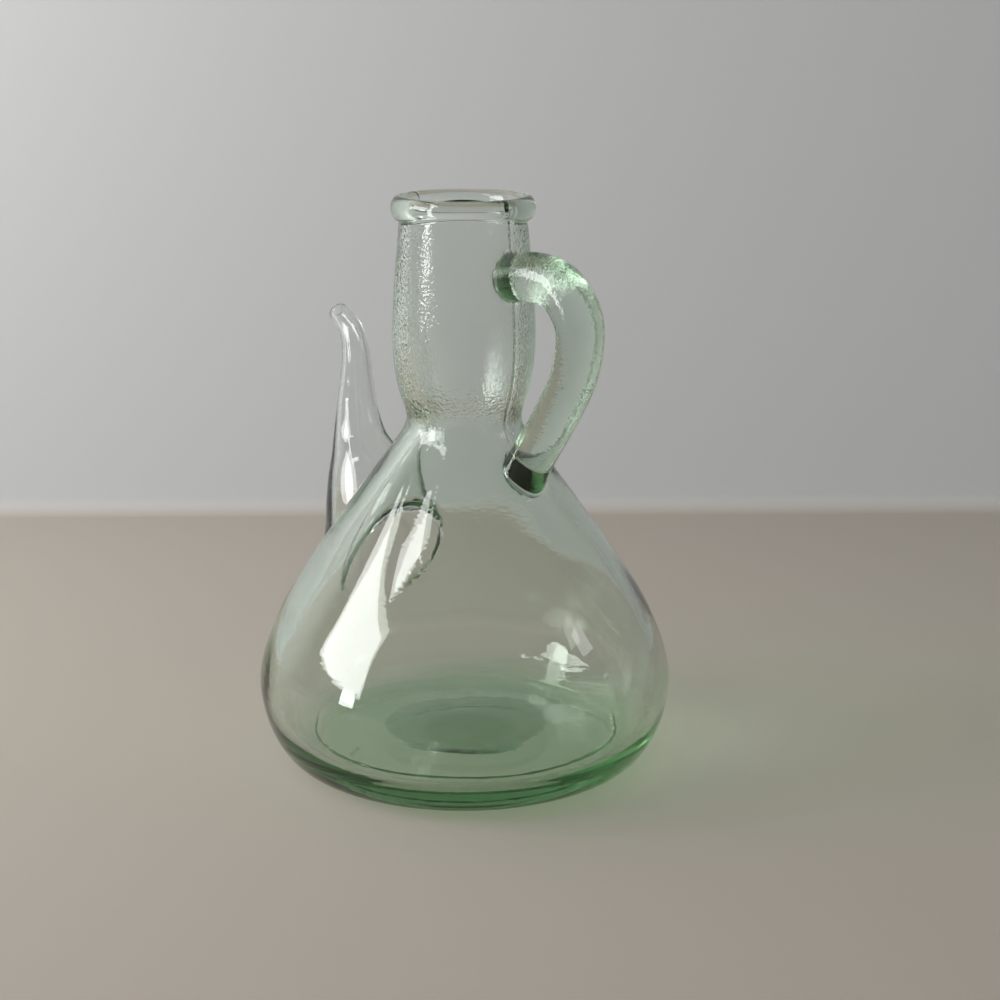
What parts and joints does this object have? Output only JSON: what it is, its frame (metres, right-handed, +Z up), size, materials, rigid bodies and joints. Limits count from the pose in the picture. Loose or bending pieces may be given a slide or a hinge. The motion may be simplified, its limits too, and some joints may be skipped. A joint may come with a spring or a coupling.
{
  "type": "glass oil cruet",
  "caption": "Empty oil cruet of pale green glass in one piece: conical body on a heavy base, barrel neck with a rolled rim, solid rod handle and a hollow drawn spout.",
  "frame": {"origin": "on the table, under the middle of the cruet's outline as seen from above; the axis of body and neck stands 7.4 mm to +X of it", "axes": "+Z up along the neck, +X towards the handle, the spout towards -X turned 12 degrees to +Y"},
  "size_m": [0.1406, 0.1258, 0.1732],
  "materials": {
    "green_glass": "clear pale green glass, fire-polished, slightly wavy"
  },
  "bodies": {
    "root": {"cruet": "green_glass"}
  },
  "joints": []
}
